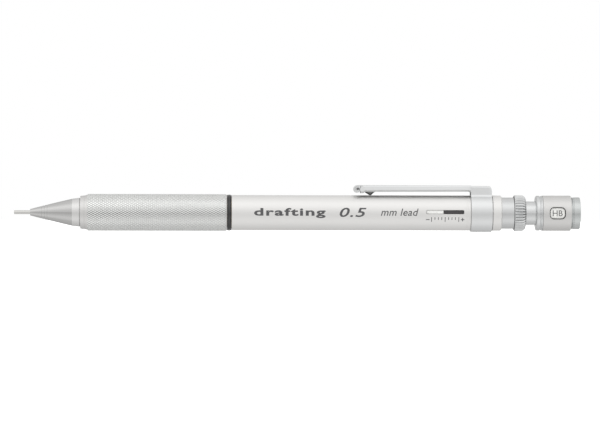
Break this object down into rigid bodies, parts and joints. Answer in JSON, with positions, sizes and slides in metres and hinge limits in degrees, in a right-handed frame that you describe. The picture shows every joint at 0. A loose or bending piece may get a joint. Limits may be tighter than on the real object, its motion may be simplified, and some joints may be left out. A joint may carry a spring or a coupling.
{
  "type": "mechanical drafting pencil",
  "caption": "Metal drafting pencil for thin leads, with knurled grip, pocket clip, push button, dial that sets the lead feed, and a grade window in its cap.",
  "frame": {"origin": "centre of the lead sleeve's open tip, on the pencil's axis", "axes": "+X along the pencil from the tip to the cap, +Z through the clip, -Y out of the indicator slot and the grade window"},
  "size_m": [0.1415, 0.0094, 0.0116],
  "materials": {
    "sleeve_steel": "polished tube",
    "retainer_rubber": "matt",
    "cone_metal": "turned and satin plated",
    "brass": "turned",
    "spring_steel": "drawn wire",
    "lead": "graphite in a polymer binder",
    "grip_metal": "diamond knurled, satin",
    "barrel_metal": "satin anodised",
    "clip_metal": "satin chrome on spring sheet",
    "dial_metal": "turned and plated",
    "neck_metal": "bright plated",
    "cap_metal": "turned, satin",
    "knob_metal": "turned face, bright",
    "black_plastic": "moulded",
    "white_plastic": "moulded",
    "clear_plastic": "translucent moulded tube",
    "eraser_rubber": "matt vinyl"
  },
  "bodies": {
    "barrel": {"lead_sleeve": "sleeve_steel", "lead_retainer": "retainer_rubber", "nose_cone": "cone_metal", "chuck_guide": "brass", "return_spring": "spring_steel", "grip": "grip_metal", "accent_ring": "black_plastic", "coupler": "brass", "barrel_tube": "barrel_metal", "clip": "clip_metal", "rear_ferrule": "barrel_metal"},
    "clutch": {"clutch_ring": "brass"},
    "button": {"chuck": "brass", "chuck_connector": "brass", "working_lead": "lead", "spare_leads": "lead", "lead_tube": "clear_plastic", "button_neck": "neck_metal", "eraser": "eraser_rubber"},
    "indicator": {"indicator_sleeve": "white_plastic", "indicator_band": "black_plastic"},
    "dial": {"dial_sleeve": "dial_metal", "dial_ring": "dial_metal", "retaining_ring": "spring_steel"},
    "cap": {"cap_collar": "cap_metal", "cap_liner": "white_plastic", "cap_sleeve": "cap_metal"},
    "grade_dial": {"grade_drum": "white_plastic", "end_knob": "knob_metal"}
  },
  "joints": [
    {"name": "button_push", "type": "slide", "parent": "barrel", "child": "button", "axis": [-1, 0, 0], "range_m": [0, 0.0014], "stiffness_N_per_m": 1500, "springref_m": -0.0023, "deforming": ["return_spring"]},
    {"name": "clutch_follow", "type": "slide", "parent": "barrel", "child": "clutch", "axis": [-1, 0, 0], "range_m": [0, 0.0007]},
    {"name": "indicator_travel", "type": "slide", "parent": "barrel", "child": "indicator", "axis": [1, 0, 0], "range_m": [-0.0025, 0.0005]},
    {"name": "dial_turn", "type": "hinge", "parent": "indicator", "child": "dial", "pos_m": [0.12625, 0, 0], "axis": [1, 0, 0], "range_deg": [-900, 180]},
    {"name": "cap_pull", "type": "slide", "parent": "button", "child": "cap", "axis": [1, 0, 0], "range_m": [0, 0.012]},
    {"name": "grade_turn", "type": "hinge", "parent": "cap", "child": "grade_dial", "pos_m": [0.1404, 0, 0], "axis": [1, 0, 0], "continuous": true}
  ],
  "couplings": [
    {"joint": "clutch_follow", "follows": "button_push", "ratio": 0.5},
    {"joint": "dial_turn", "follows": "indicator_travel", "rad_per_m": 6283.2}
  ]
}
